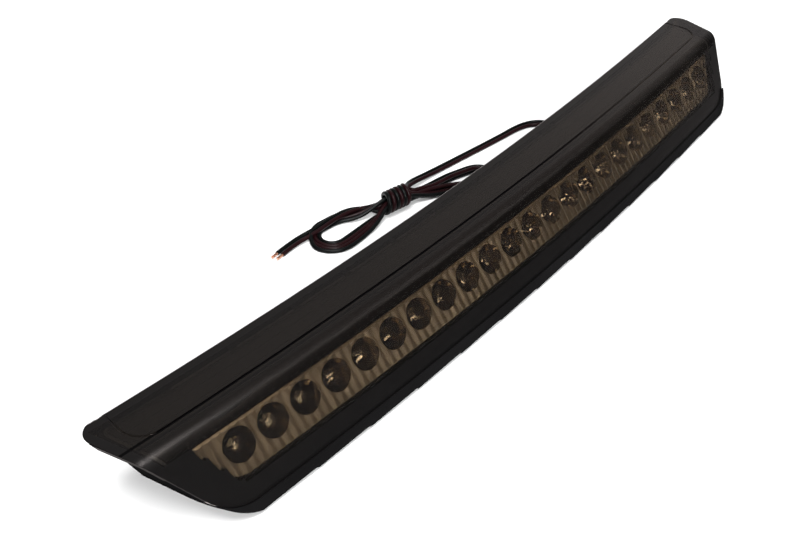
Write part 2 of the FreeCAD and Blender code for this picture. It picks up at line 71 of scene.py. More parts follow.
def face_point(s, down, depth):
    """Point s along the bow, a distance down the sloping face and a depth behind it."""
    v = RIDGE_V - math.cos(SLOPE) * down + math.sin(SLOPE) * depth
    z = TOP_Z - math.sin(SLOPE) * down - math.cos(SLOPE) * depth
    return along_bow(s, v, z)


# --- camera ---------------------------------------------------------------------------------
CAMERA_PLACE = Vector((-0.25775, -0.16721, 0.24348))
CAMERA_AZIMUTH = math.radians(-49.65)
CAMERA_ELEVATION = math.radians(39.61)
CAMERA_LENS = 44.96
SENSOR_WIDTH = 36.0


def make_camera():
    data = bpy.data.cameras.new("camera")
    data.lens = CAMERA_LENS
    data.sensor_width = SENSOR_WIDTH
    data.clip_start = 0.01
    data.clip_end = 20.0
    camera = bpy.data.objects.new("camera", data)
    bpy.context.scene.collection.objects.link(camera)
    camera.location = CAMERA_PLACE
    camera.rotation_euler = (math.pi / 2 - CAMERA_ELEVATION, 0.0, CAMERA_AZIMUTH)
    bpy.context.scene.camera = camera


make_camera()


# --- material helpers -------------------------------------------------------------------------
class Shader:
    """A node material with short calls for the nodes that the looks share."""

    def __init__(self, name):
        self.material = bpy.data.materials.new(name)
        self.material.use_nodes = True
        self.tree = self.material.node_tree
        self.tree.nodes.clear()
        self.output = self.node("ShaderNodeOutputMaterial")
        self.position = self.node("ShaderNodeTexCoord").outputs["Object"]

    def node(self, kind, **settings):
        made = self.tree.nodes.new(kind)
        for key, value in settings.items():
            setattr(made, key, value)
        return made

    def link(self, source, target):
        self.tree.links.new(source, target)

    def feed(self, socket, value):
        """Set a socket to a plain value, or link it if the value is another node's socket."""
        if isinstance(value, bpy.types.NodeSocket):
            self.link(value, socket)
        else:
            socket.default_value = value

    def principled(self, **inputs):
        shader = self.node("ShaderNodeBsdfPrincipled")
        for key, value in inputs.items():
            self.feed(shader.inputs[key.replace("_", " ")], value)
        return shader

    def noise(self, scale, detail=2.0, roughness=0.5, stretch=(1, 1, 1)):
        mapping = self.node("ShaderNodeMapping")
        mapping.inputs["Scale"].default_value = stretch
        self.link(self.position, mapping.inputs["Vector"])
        texture = self.node("ShaderNodeTexNoise")
        texture.inputs["Scale"].default_value = scale
        texture.inputs["Detail"].default_value = detail
        texture.inputs["Roughness"].default_value = roughness
        self.link(mapping.outputs["Vector"], texture.inputs["Vector"])
        return texture.outputs["Fac"]

    def cells(self, scale):
        texture = self.node("ShaderNodeTexVoronoi")
        texture.inputs["Scale"].default_value = scale
        self.link(self.position, texture.inputs["Vector"])
        return texture.outputs["Distance"]

    def ramp(self, factor, stops):
        """Colour ramp through (position, colour) stops."""
        made = self.node("ShaderNodeValToRGB")
        elements = made.color_ramp.elements
        while len(elements) < len(stops):
            elements.new(0.5)
        for element, (position, colour) in zip(elements, stops):
            element.position = position
            element.color = (*colour, 1.0)
        self.link(factor, made.inputs["Fac"])
        return made.outputs["Color"]

    def spread(self, factor, low, high):
        """The factor's 0..1 mapped to low..high."""
        made = self.node("ShaderNodeMapRange")
        made.inputs["To Min"].default_value = low
        made.inputs["To Max"].default_value = high
        self.link(factor, made.inputs["Value"])
        return made.outputs["Result"]

    def maths(self, operation, a, b=0.0):
        made = self.node("ShaderNodeMath", operation=operation)
        self.feed(made.inputs[0], a)
        self.feed(made.inputs[1], b)
        return made.outputs["Value"]

    def bump(self, height, strength, distance, normal=None):
        made = self.node("ShaderNodeBump")
        made.inputs["Strength"].default_value = strength
        made.inputs["Distance"].default_value = distance
        self.link(height, made.inputs["Height"])
        if normal is not None:
            self.link(normal, made.inputs["Normal"])
        return made.outputs["Normal"]

    def finish(self, shader):
        self.link(shader.outputs[0], self.output.inputs["Surface"])
        return self.material


# --- materials --------------------------------------------------------------------------------
LENS_TINT = (0.57, 0.53, 0.475)
LENS_INDEX = 1.49
BORDER_WIDTH = 3.4 * MM
BORDER_FOOT = 21.9 * MM
# The groove is painted shade: a dark line along the top panel that fades out towards the right
# end.
GROOVE_MIDDLE = 4.45 * MM
GROOVE_HALF_WIDTH = 0.5 * MM
GROOVE_FADE = 110.0 * MM
GROOVE_FADE_LENGTH = 90.0 * MM
WINDOW_END = 160.5 * MM
WINDOW_SHIFT = 2.0 * MM
SCALLOP = 1.6 * MM


def lens_masks(look):
    """Masks: the border, sprayed black inside, the groove's painted shade and the matt end rims.
    """
    parts = look.node("ShaderNodeSeparateXYZ")
    look.link(look.position, parts.inputs[0])
    x, y, z = parts.outputs
    bow_y = look.maths("SUBTRACT", y, MIDDLE_Y + BOW_RADIUS)
    squares = look.maths("ADD", look.maths("MULTIPLY", x, x), look.maths("MULTIPLY", bow_y, bow_y))
    v = look.maths("SUBTRACT", BOW_RADIUS, look.maths("SQRT", squares))
    rear = look.maths("GREATER_THAN", v, REAR_V - BORDER_WIDTH)
    ahead = look.maths("MULTIPLY", look.maths("SUBTRACT", RIDGE_V, v), math.cos(SLOPE))
    below = look.maths("MULTIPLY", look.maths("SUBTRACT", TOP_Z, z), math.sin(SLOPE))
    down = look.maths("ADD", ahead, below)
    s = look.maths("MULTIPLY", look.maths("ABSOLUTE", x),
                   look.maths("ADD", look.maths("DIVIDE", v, BOW_RADIUS), 1.0))
    lean = (LENS_END[0] - LENS_END[1]) / FACE_HEIGHT
    outward = look.maths("ADD", s, look.maths("MULTIPLY", down, lean))
    end = look.maths("GREATER_THAN", outward, LENS_END[0] - BORDER_WIDTH)
    foot = look.maths("GREATER_THAN", down, BORDER_FOOT)
    signed = look.maths("MULTIPLY", x, look.maths("ADD", look.maths("DIVIDE", v, BOW_RADIUS), 1.0))
    turn = look.maths("MULTIPLY", look.maths("SUBTRACT", signed, LED_SHIFT), math.pi / FLUTE_PITCH)
    crest = look.maths("MULTIPLY", look.maths("ABSOLUTE", look.maths("COSINE", turn)), SCALLOP)
    from_middle = look.maths("ABSOLUTE", look.maths("SUBTRACT", signed, WINDOW_SHIFT))
    reach = look.maths("ADD", from_middle, look.maths("MULTIPLY", down, lean))
    limit = look.maths("ADD", crest, WINDOW_END - SCALLOP)
    scallops = look.maths("GREATER_THAN", reach, limit)
    on_face = look.maths("GREATER_THAN", down, 4.0 * MM)
    ends = look.maths("MAXIMUM", end, look.maths("MULTIPLY", scallops, on_face))
    border = look.maths("MAXIMUM", foot, look.maths("MAXIMUM", rear, ends))
    off_groove = look.maths("ABSOLUTE", look.maths("SUBTRACT", v, GROOVE_MIDDLE))
    groove_shade = look.maths("LESS_THAN", off_groove, GROOVE_HALF_WIDTH)
    # The groove's painted shade fades out towards the bar's right end.
    rest = look.maths("MULTIPLY", look.maths("SUBTRACT", GROOVE_FADE, x), 1 / GROOVE_FADE_LENGTH)
    groove_shade = look.maths("MULTIPLY", groove_shade, look.spread(rest, 0.12, 1.0))
    matt_end = look.maths("GREATER_THAN", outward, LENS_END[0] - 0.25 * MM)
    return border, groove_shade, matt_end


def smoked_plastic():
    """Tinted clear plastic: see-through with a gloss that grows towards grazing angles."""
    look = Shader("smoked_plastic")
    clear = look.node("ShaderNodeBsdfTransparent")
    cloud = look.noise(60.0, 3.0)
    light = tuple(c * 1.02 for c in LENS_TINT)
    dark = tuple(c * 0.97 for c in LENS_TINT)
    look.link(look.ramp(cloud, [(0.35, dark), (0.65, light)]), clear.inputs["Color"])
    black_paint_and_shade = look.node("ShaderNodeBsdfDiffuse")
    look.feed(black_paint_and_shade.inputs["Color"], (0.0018, 0.0017, 0.0018, 1.0))
    body = look.node("ShaderNodeMixShader")
    border, groove_shade, matt_end = lens_masks(look)
    # Black where the border is sprayed black, and painted shade along the groove.
    look.feed(body.inputs[0], look.maths("MAXIMUM", border, groove_shade))
    look.link(clear.outputs[0], body.inputs[1])
    look.link(black_paint_and_shade.outputs[0], body.inputs[2])
    gloss = look.node("ShaderNodeBsdfGlossy")
    look.feed(gloss.inputs["Color"], (1.0, 0.92, 0.90, 1.0))
    look.feed(gloss.inputs["Roughness"], look.spread(look.noise(500.0, 4.0), 0.27, 0.33))
    scratches = look.noise(1500.0, 3.0, 0.6, stretch=(0.06, 1.0, 1.0))
    look.feed(gloss.inputs["Normal"], look.bump(scratches, 0.01, 0.00005))
    facing = look.node("ShaderNodeLayerWeight")
    facing.inputs["Blend"].default_value = 0.5
    grazing = look.maths("POWER", facing.outputs["Facing"], 5.0)
    head_on = ((LENS_INDEX - 1) / (LENS_INDEX + 1)) ** 2
    mirror = look.maths("MULTIPLY_ADD", grazing, 1.0 - head_on)
    mirror.node.inputs[2].default_value = head_on
    mix = look.node("ShaderNodeMixShader")
    # Gloss dulled on the groove's painted shade and on the matt end rims.
    dull = look.maths("MULTIPLY", look.maths("MAXIMUM", groove_shade, matt_end), 0.9)
    shaded = look.maths("SUBTRACT", 1.0, dull)
    look.feed(mix.inputs[0], look.maths("MULTIPLY", mirror, shaded))
    look.link(body.outputs[0], mix.inputs[1])
    look.link(gloss.outputs[0], mix.inputs[2])
    return look.finish(mix)


def optic_plastic():
    """Clear moulded flutes on the back of the lens's window."""
    look = Shader("optic_plastic")
    rough = look.spread(look.noise(1200.0), 0.01, 0.05)
    shader = look.principled(Base_Color=(0.96, 0.95, 0.93, 1.0), Roughness=rough, IOR=1.49,
                             Transmission_Weight=1.0)
    unshadowed = look.node("ShaderNodeBsdfTransparent")
    mix = look.node("ShaderNodeMixShader")
    look.link(look.node("ShaderNodeLightPath").outputs["Is Shadow Ray"], mix.inputs[0])
    look.link(shader.outputs[0], mix.inputs[1])
    look.link(unshadowed.outputs[0], mix.inputs[2])
    return look.finish(mix)


def moulded_black(name, colour, low_rough, high_rough, grain=0.25, gloss=0.5):
    """Black moulded plastic with a fine spark-eroded grain and faint flow marks."""
    look = Shader(name)
    flow = look.noise(35.0, 3.0, 0.55, stretch=(0.3, 1.0, 1.0))
    paler = tuple(c * 1.5 + 0.002 for c in colour)
    base = look.ramp(flow, [(0.3, colour), (0.75, paler)])
    fine = look.noise(4200.0, 2.0)
    pits = look.cells(2600.0)
    rough = look.spread(look.noise(300.0, 4.0), low_rough, high_rough)
    normal = look.bump(pits, grain, 0.00012, look.bump(fine, grain * 0.6, 0.00008))
    shader = look.principled(Base_Color=base, Roughness=rough, Normal=normal,
                             Specular_IOR_Level=gloss)
    return look.finish(shader)


def metallised(name, colour, roughness, grain, flute_depth=0.0, metal=1.0):
    """Vacuum-metallised plastic: aluminium over a moulded surface, plain or fluted."""
    look = Shader(name)
    haze = look.noise(250.0, 3.0)
    darker = tuple(c * 0.85 for c in colour)
    base = look.ramp(haze, [(0.3, darker), (0.7, colour)])
    rough = look.spread(look.noise(700.0, 3.0), roughness * 0.8, roughness * 1.25)
    normal = look.bump(look.noise(1400.0, 3.0), grain, 0.0002)
    if flute_depth:
        flutes = look.node("ShaderNodeTexWave", wave_type="BANDS", bands_direction="X")
        flutes.inputs["Scale"].default_value = 2 * math.pi / (20 * FLUTE_PITCH)
        look.link(look.position, flutes.inputs["Vector"])
        normal = look.bump(flutes.outputs["Fac"], 1.0, flute_depth, normal)
    shader = look.principled(Base_Color=base, Metallic=metal, Roughness=rough, Normal=normal)
    return look.finish(shader)


def edge_metal_painted_highlight():
    """The reflector's bead, with a painted highlight: bright at the bar's left end and duller
    further along.
    """
    look = Shader("edge_metal_painted_highlight")
    parts = look.node("ShaderNodeSeparateXYZ")
    look.link(look.position, parts.inputs[0])
    # Painted highlight: the bead's colour runs from bright at the left end to dull along the bar.
    place = look.maths("ADD", look.maths("MULTIPLY", parts.outputs[0], 14.0), 2.25)
    waver = look.maths("MULTIPLY", look.noise(300.0, 3.0), 0.15)
    base = look.ramp(look.maths("ADD", place, waver),
                     [(0.15, (1.0, 0.92, 0.80)), (0.75, (0.30, 0.27, 0.23))])
    rough = look.spread(look.noise(700.0, 3.0), 0.12, 0.22)
    return look.finish(look.principled(Base_Color=base, Roughness=rough, Specular_IOR_Level=1.0))


def led_epoxy():
    """Water-clear casting resin."""
    look = Shader("led_epoxy")
    rough = look.spread(look.noise(800.0), 0.0, 0.03)
    shader = look.principled(Base_Color=(0.95, 0.95, 0.93, 1.0), Roughness=rough, IOR=1.53,
                             Transmission_Weight=1.0)
    return look.finish(shader)


def tinned_metal(name="tinned_metal", colour=(0.62, 0.61, 0.58), roughness=0.28):
    look = Shader(name)
    stain = look.noise(900.0, 4.0)
    darker = tuple(c * 0.72 for c in colour)
    base = look.ramp(stain, [(0.3, darker), (0.65, colour)])
    rough = look.spread(look.noise(1800.0, 3.0), roughness * 0.7, roughness * 1.5)
    normal = look.bump(look.noise(3000.0, 3.0), 0.25, 0.00005)
    shader = look.principled(Base_Color=base, Metallic=1.0, Roughness=rough, Normal=normal)
    return look.finish(shader)


def board_laminate():
    """Green-black solder mask over a woven glass laminate."""
    look = Shader("board_laminate")
    weave = look.node("ShaderNodeTexWave", wave_type="BANDS", bands_direction="X")
    weave.inputs["Scale"].default_value = 900.0
    weave.inputs["Distortion"].default_value = 0.6
    look.link(look.position, weave.inputs["Vector"])
    tone = look.noise(120.0, 3.0)
    base = look.ramp(tone, [(0.3, (0.012, 0.040, 0.022)), (0.7, (0.020, 0.062, 0.034))])
    normal = look.bump(weave.outputs["Fac"], 0.15, 0.00004)
    shader = look.principled(Base_Color=base, Normal=normal, Coat_Weight=0.4,
                             Roughness=look.spread(look.noise(500.0), 0.3, 0.45))
    return look.finish(shader)


def enamel_body():
    """Resistor enamel: mottled beige under a thin gloss."""
    look = Shader("resistor_body")
    mottled = look.noise(1500.0, 3.0)
    base = look.ramp(mottled, [(0.35, (0.42, 0.30, 0.17)), (0.7, (0.55, 0.41, 0.25))])
    normal = look.bump(look.noise(2200.0), 0.3, 0.00008)
    shader = look.principled(Base_Color=base, Normal=normal, Coat_Weight=0.3,
                             Roughness=look.spread(mottled, 0.35, 0.5))
    return look.finish(shader)


def foam_tape():
    """Grey closed-cell acrylic foam with fine pores."""
    look = Shader("foam_tape")
    pores = look.cells(2300.0)
    base = look.ramp(pores, [(0.0, (0.05, 0.05, 0.052)), (0.5, (0.13, 0.13, 0.135))])
    normal = look.bump(pores, 0.6, 0.0002, look.bump(look.noise(700.0, 4.0), 0.4, 0.0002))
    shader = look.principled(Base_Color=base, Normal=normal,
                             Roughness=look.spread(look.noise(400.0), 0.75, 0.95))
    return look.finish(shader)


def pvc(name, colour):
    """Glossy PVC insulation with faint extrusion lines and handling marks."""
    look = Shader(name)
    dusty = tuple(c * 1.3 + 0.0015 for c in colour)
    base = look.ramp(look.noise(220.0, 4.0), [(0.35, colour), (0.75, dusty)])
    rough = look.spread(look.noise(500.0, 3.0), 0.24, 0.40)
    normal = look.bump(look.noise(1300.0, 2.0), 0.12, 0.0001)
    shader = look.principled(Base_Color=base, Roughness=rough, Normal=normal,
                             Specular_IOR_Level=0.09)
    return look.finish(shader)


def rubber():
    look = Shader("grommet_rubber")
    base = look.ramp(look.noise(300.0, 3.0), [(0.3, (0.012, 0.012, 0.012)),
                                              (0.7, (0.03, 0.03, 0.03))])
    normal = look.bump(look.noise(3500.0, 2.0), 0.3, 0.0001)
    shader = look.principled(Base_Color=base, Normal=normal,
                             Roughness=look.spread(look.noise(600.0), 0.55, 0.75))
    return look.finish(shader)


def sealing_bead():
    look = Shader("sealant")
    base = look.ramp(look.noise(200.0, 3.0), [(0.3, (0.016, 0.016, 0.018)),
                                              (0.7, (0.028, 0.028, 0.03))])
    normal = look.bump(look.noise(500.0, 3.0), 0.5, 0.0003)
    shader = look.principled(Base_Color=base, Normal=normal,
                             Roughness=look.spread(look.noise(350.0), 0.3, 0.5))
    return look.finish(shader)


def led_die():
    """Pale grey chip in its gel."""
    look = Shader("led_die")
    base = look.ramp(look.noise(5000.0, 2.0),
                     [(0.3, (0.32, 0.31, 0.27)), (0.7, (0.45, 0.44, 0.38))])
    rough = look.spread(look.noise(4000.0), 0.3, 0.5)
    return look.finish(look.principled(Base_Color=base, Roughness=rough))


LOOKS = {
    "tray_plastic": moulded_black("tray_plastic", (0.0055, 0.0053, 0.0055), 0.42, 0.52, 0.15, 0.0),
    "smoked_plastic": smoked_plastic(),
    "optic_plastic": optic_plastic(),
    "sealant": sealing_bead(),
    "bezel_plastic": moulded_black("bezel_plastic", (0.004, 0.0039, 0.004), 0.5, 0.6, 0.03, 0.05),
    "plate_metal": metallised("plate_metal", (0.40, 0.377, 0.345), 0.42, 0.5, 0.0009, 0.35),
    "cup_metal": metallised("cup_metal", (0.66, 0.61, 0.54), 0.08, 0.05),
    "edge_metal_painted_highlight": edge_metal_painted_highlight(),
    "lead_frame": tinned_metal("lead_frame", (0.97, 0.95, 0.90), 0.06),
    "led_die": led_die(),
    "board_laminate": board_laminate(),
    "led_epoxy": led_epoxy(),
    "tinned_metal": tinned_metal(),
    "solder": tinned_metal("solder", (0.70, 0.70, 0.68), 0.2),
    "screw_steel": tinned_metal("screw_steel", (0.50, 0.49, 0.47), 0.25),
    "resistor_body": enamel_body(),
    "diode_body": moulded_black("diode_body", (0.012, 0.012, 0.012), 0.3, 0.4),
    "foam_tape": foam_tape(),
    "grommet_rubber": rubber(),
    "black_pvc": pvc("black_pvc", (0.002, 0.0024, 0.0024)),
    "red_pvc": pvc("red_pvc", (0.009, 0.0020, 0.0026)),
    "bare_copper": tinned_metal("bare_copper", (0.80, 0.42, 0.28), 0.3),
}

NODE_LOOKS = {
    "tray": "tray_plastic",
    "smoked_lens": "smoked_plastic",
    "lens_sealant": "sealant",
    "window_bezel": "bezel_plastic",
    "reflector": "plate_metal",
    "led_lamps": "led_epoxy",
    "led_board": "board_laminate",
    "led_leads": "tinned_metal",
    "resistors": "resistor_body",
    "reverse_diode": "diode_body",
    "solder_joints": "solder",
    "board_screws": "screw_steel",
    "bezel_screws": "screw_steel",
    "front_tape": "foam_tape",
    "rear_tape": "foam_tape",
    "wire_grommet": "grommet_rubber",
    "inner_black_wire": "black_pvc",
    "inner_red_wire": "red_pvc",
}


def dress(obj, look):
    obj.data.materials.clear()
    obj.data.materials.append(LOOKS[look])


for node_name, look_name in NODE_LOOKS.items():
    dress(nodes[node_name], look_name)


# --- the two-wire lead and its hank --------------------------------------------------------------
WIRE = 1.7 * MM
BLACK_START = (87.0, 19.6, 5.6)
RED_START = (85.0, 19.6, 5.6)
BLACK_LEAD = [(86.9, 27.0, 5.4), (87.4, 35.5, 2.6), (86.2, 43.4, 0.9), (78.6, 47.0, 0.9),
              (64.5, 48.2, 0.9), (43.0, 51.2, 0.9), (22.5, 54.0, 1.0), (7.0, 54.2, 3.4)]
RED_LEAD = [(84.7, 26.8, 5.4), (85.2, 34.8, 2.6), (84.4, 41.6, 0.9), (77.6, 45.2, 0.9),
            (64.0, 46.5, 0.9), (42.5, 49.5, 0.9), (22.0, 52.2, 1.0), (7.5, 52.4, 3.6)]
BLACK_TAIL = [(-39.5, 62.2, 2.4), (-49.5, 64.9, 1.0), (-59.0, 64.0, 0.9)]
RED_TAIL = [(-41.5, 60.4, 2.2), (-50.5, 62.5, 1.0), (-58.3, 61.8, 0.9)]

# The hank, in millimetres: a left and a right loop on the floor, drawn in at a wrapped waist.
LEFT_LOOP = (-36.8, 55.6)
RIGHT_LOOP = (32.8, 35.5)
WAIST_LEFT = Vector((-12.5, 50.5, 4.75))
WAIST_RIGHT = Vector((1.5, 47.7, 4.75))
FLOOR_Z = 0.87
INNER_RADIUS = 5.15
HANK_TURNS = 2


def waist_spot(t, across_by, up_by):
    """Point t from the waist's left end to its right end, 0 to 1, off its axis."""
    along = (WAIST_RIGHT - WAIST_LEFT).normalized()
    across = Vector((-along.y, along.x, 0.0))
    spot = WAIST_LEFT.lerp(WAIST_RIGHT, t)
    return spot + across * across_by + Vector((0, 0, up_by))


# Where each strand sits in the waist (across, up): on its way left, then on its way right.
REAR_SLOTS = {("black", 0): (0.87, 1.5), ("red", 0): (1.75, 0.0),
              ("black", 1): (2.6, -1.5), ("red", 1): (0.87, -1.5)}
FRONT_SLOTS = {("black", 0): (-2.6, -1.5), ("red", 0): (-0.87, -1.5),
               ("black", 1): (-1.75, 0.0), ("red", 1): (0.0, 0.0)}
# How far outside the innermost strand each one lies in a loop, and how high it is stacked.
LEFT_LAYS = {("black", 0): (0.0, 0.0), ("red", 0): (1.72, 0.0),
             ("red", 1): (3.44, 0.0), ("black", 1): (5.1, 0.0)}
RIGHT_LAYS = {("black", 0): (0.0, 0.0), ("red", 1): (1.72, 0.0),
              ("black", 1): (3.44, 0.0), ("red", 0): (0.05, 1.6)}


def loop_arc(centre, from_angle, to_angle, radius, lift, count, outer=0.0):
    """Points round a loop's end; the outermost strand climbs onto the others towards the rear."""
    points = []
    step = math.radians(to_angle - from_angle) / (count - 1)
    for i in range(count):
        angle = math.radians(from_angle) + step * i
        climb = outer * max(0.0, math.sin(angle)) ** 0.7
        reach = (radius - 2.5 * climb) / math.cos(step / 2)
        points.append(Vector((centre[0] + reach * math.cos(angle),
                              centre[1] + reach * math.sin(angle), FLOOR_Z + lift + 1.5 * climb)))
    return points


def hank_turn(colour, turn):
    """One turn: left through the waist, round the left loop, back, round the right loop."""
    rear = REAR_SLOTS[colour, turn]
    front = FRONT_SLOTS[colour, turn]
    out, lift = LEFT_LAYS[colour, turn]
    outermost = 1.0 if out > 5 else 0.0
    rear_out = out - 2.5 * outermost
    rear_z = FLOOR_Z + lift + 1.5 * outermost
    points = [waist_spot(0.9, *rear), waist_spot(0.5, *rear), waist_spot(0.1, *rear)]
    points.append(Vector((-21.8 + 0.6 * rear_out, 54.0 + 1.1 * rear_out, rear_z + 0.9)))
    points.append(Vector((-28.6 + 0.4 * rear_out, 59.6 + 1.0 * rear_out, rear_z + 0.1)))
    points += loop_arc(LEFT_LOOP, 68, 268, INNER_RADIUS + out, lift, 8, outermost)
    points.append(Vector((-29.0, 50.4 - 0.98 * out, FLOOR_Z + lift)))
    points.append(Vector((-21.0, 49.9 - 0.75 * out, FLOOR_Z + lift + 0.8)))
    points += [waist_spot(0.1, *front), waist_spot(0.5, *front), waist_spot(0.9, *front)]
    out, lift = RIGHT_LAYS[colour, turn]
    low = FLOOR_Z + lift
    points.append(Vector((9.5, 45.2 - out, low + 0.3)))
    points.append(Vector((19.5, 40.2 - out, low)))
    points += loop_arc(RIGHT_LOOP, -116, 64, INNER_RADIUS + out, lift, 8)
    points.append(Vector((24.5, 43.8 + out, low)))
    points.append(Vector((13.5, 45.2 + out, low)))
    points.append(Vector((7.0, 47.6 + 0.7 * out, low + 1.2)))
    return points


WRAP_ACROSS = 4.15
WRAP_UP = 3.84
WRAP_TURNS = 3
WRAP_PITCH = 0.25
POINTS_PER_WRAP = 12
FIRST_WRAP_ANGLE = -50
LAST_WRAP_ANGLE = 360 * WRAP_TURNS - 20
# Where the strands join and leave the wraps they lean along the waist, over this many degrees.
WRAP_EASE = 125
WRAP_EASE_REACH = 0.42


def wraps(start_t, slant):
    """Turns round the waist, from its rear side over the top, working leftwards."""
    points = []
    first = FIRST_WRAP_ANGLE
    last = LAST_WRAP_ANGLE
    count = round((last - first) / 360 * POINTS_PER_WRAP) + 1
    for i in range(count):
        share = i / (count - 1)
        degrees = first + (last - first) * share
        angle = math.radians(degrees)
        arriving = max(0.0, 1.0 - (degrees - first) / WRAP_EASE)
        leaving = max(0.0, 1.0 - (last - degrees) / WRAP_EASE)
        t = start_t - WRAP_PITCH * (degrees - first) / 360
        t += WRAP_EASE_REACH * (arriving ** 2 - leaving ** 2)
        last_turn = degrees > 360 * (WRAP_TURNS - 1) + 60
        lean = slant * max(0.0, -math.cos(angle)) if last_turn else 0.0
        spot = waist_spot(t - lean, WRAP_ACROSS * math.cos(angle) * (1 + 0.6 * lean),
                          WRAP_UP * math.sin(angle))
        points.append(spot)
    return points


WIRE_SPACING = 1.8
UNEVEN = 2.7
SHORTENED = 1.3


def even_legs(points):
    """The same path with a point added where a long leg meets a short one."""
    done = [points[0]]
    for i in range(1, len(points)):
        start, end = points[i - 1], points[i]
        leg = (end - start).length
        before = (start - points[i - 2]).length if i > 1 else leg
        after = (points[i + 1] - end).length if i + 1 < len(points) else leg
        if leg > UNEVEN * before:
            done.append(start.lerp(end, SHORTENED * before / leg))
        if leg > UNEVEN * after:
            done.append(start.lerp(end, 1.0 - SHORTENED * after / leg))
        done.append(end)
    return done


def wire_points(colour):
    """The whole wire in metres: lead, turns of the hank, wraps round its waist, tail."""
    lead, tail, start = ((BLACK_LEAD, BLACK_TAIL, BLACK_START) if colour == "black"
                         else (RED_LEAD, RED_TAIL, RED_START))
    points = [Vector(p) for p in [start] + lead]
    for turn in range(HANK_TURNS):
        points += hank_turn(colour, turn)
    points.pop()
    points += wraps(0.78, 0.07) if colour == "black" else wraps(0.91, 0.04)
    side = WIRE_SPACING / 2 if colour == "black" else -WIRE_SPACING / 2
    points.append(Vector((-23.0, 59.4 + side, 3.5)))
    points.append(Vector((-31.5, 61.0 + side, 3.0)))
    points += [Vector(p) for p in tail]
    return [p * MM for p in even_legs(points)]


def spline_curve(name, points, diameter):
    """Smooth NURBS curve with the points as its control points."""
    data = bpy.data.curves.new(name, "CURVE")
    data.dimensions = "3D"
    data.resolution_u = 6
    data.bevel_depth = diameter / 2
    data.bevel_resolution = 5
    data.use_fill_caps = True
    spline = data.splines.new("NURBS")
    spline.points.add(len(points) - 1)
    for point, place in zip(spline.points, points):
        point.co = (*place, 1.0)
    spline.order_u = 3
    spline.use_endpoint_u = True
    curve = bpy.data.objects.new(name, data)
    bpy.context.scene.collection.objects.link(curve)
    return curve


def mesh_object(name, bm, look):
    """The bmesh as a piece in the scene, with its material."""
    data = bpy.data.meshes.new(name)
    bm.normal_update()
    bm.to_mesh(data)
    bm.free()
    obj = bpy.data.objects.new(name, data)
    bpy.context.scene.collection.objects.link(obj)
    data.materials.append(LOOKS[look])
    return obj


def grid_faces(bm, rows, closed):
    """Join rows of vertices with quads; closed rows are rings."""
    for a, b in zip(rows, rows[1:]):
        count = len(a)
        for j in range(count if closed else count - 1):
            k = (j + 1) % count
            bm.faces.new((a[j], a[k], b[k], b[j]))


def smooth_quads(obj):
    """Smooth shading on the sides of round shapes, not on their many-sided ends."""
    for polygon in obj.data.polygons:
        polygon.use_smooth = len(polygon.vertices) == 4


def make_wire(colour, replaced):
    points = wire_points(colour)
    wire = spline_curve(colour + "_wire", points, WIRE)
    wire.data.materials.append(LOOKS[colour + "_pvc"])
    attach(wire, "root")
    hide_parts(*replaced)
    return wire, points


STRAND = 0.36 * MM
STRAND_TWIST = 2.2
STRIPPED = 3.5 * MM
SHORT_STRANDS = (1, 3, 4, 6)
STRAND_SIDES = 10
STRAND_RINGS = 14


def make_strands(colour, points):
    """The bared end: seven copper strands, six of them twisted round the first."""
    end = points[-1]
    along = (points[-1] - points[-2]).normalized()
    side = along.cross(Vector((0, 0, 1))).normalized()
    up = side.cross(along)
    bm = bmesh.new()
    for strand in range(7):
        reach = 0.0 if strand == 0 else STRAND
        rows = []
        for k in range(STRAND_RINGS):
            share = k / (STRAND_RINGS - 1)
            turn = math.radians(60 * strand) + STRAND_TWIST * share
            stop = STRIPPED * (0.93 if strand in SHORT_STRANDS else 1.0)
            centre = end + along * (stop * share - 0.2 * MM)
            centre += (side * math.cos(turn) + up * math.sin(turn)) * reach
            row = []
            for j in range(STRAND_SIDES):
                a = 2 * math.pi * j / STRAND_SIDES
                row.append(bm.verts.new(centre + (side * math.cos(a) + up * math.sin(a))
                                        * STRAND / 2))
            rows.append(row)
        grid_faces(bm, rows, True)
        bm.faces.new(rows[0])
        bm.faces.new(reversed(rows[-1]))
    bmesh.ops.recalc_face_normals(bm, faces=bm.faces)
    tip = mesh_object(colour + "_tip_strands", bm, "bare_copper")
    smooth_quads(tip)
    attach(tip, "root")
    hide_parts(colour + "_wire_tip")
    return tip


black_wire, black_points = make_wire("black", ("black_lead", "wire_hank", "black_tail"))
red_wire, red_points = make_wire("red", ("red_lead", "wire_hank", "red_tail"))
black_tip = make_strands("black", black_points)
red_tip = make_strands("red", red_points)


# --- reflector cups, lamp insides, window optics ------------------------------------------------
CUP_FRONT = 3.9 * MM
CUP_DEPTH = 7.0 * MM
CUP_MOUTH = 5.55 * MM
CUP_THROAT = 2.95 * MM
CUP_PETALS = 8
CUP_SINK = 0.35 * MM
CUP_GAP = 0.03 * MM
CUP_SIDES = 8 * CUP_PETALS
CUP_RINGS = 9


def around(s, down, depth, radius, angle):
    """Point on a circle square to the face, round (s, down) at a depth."""
    return face_point(s + radius * math.cos(angle), down + radius * math.sin(angle), depth)


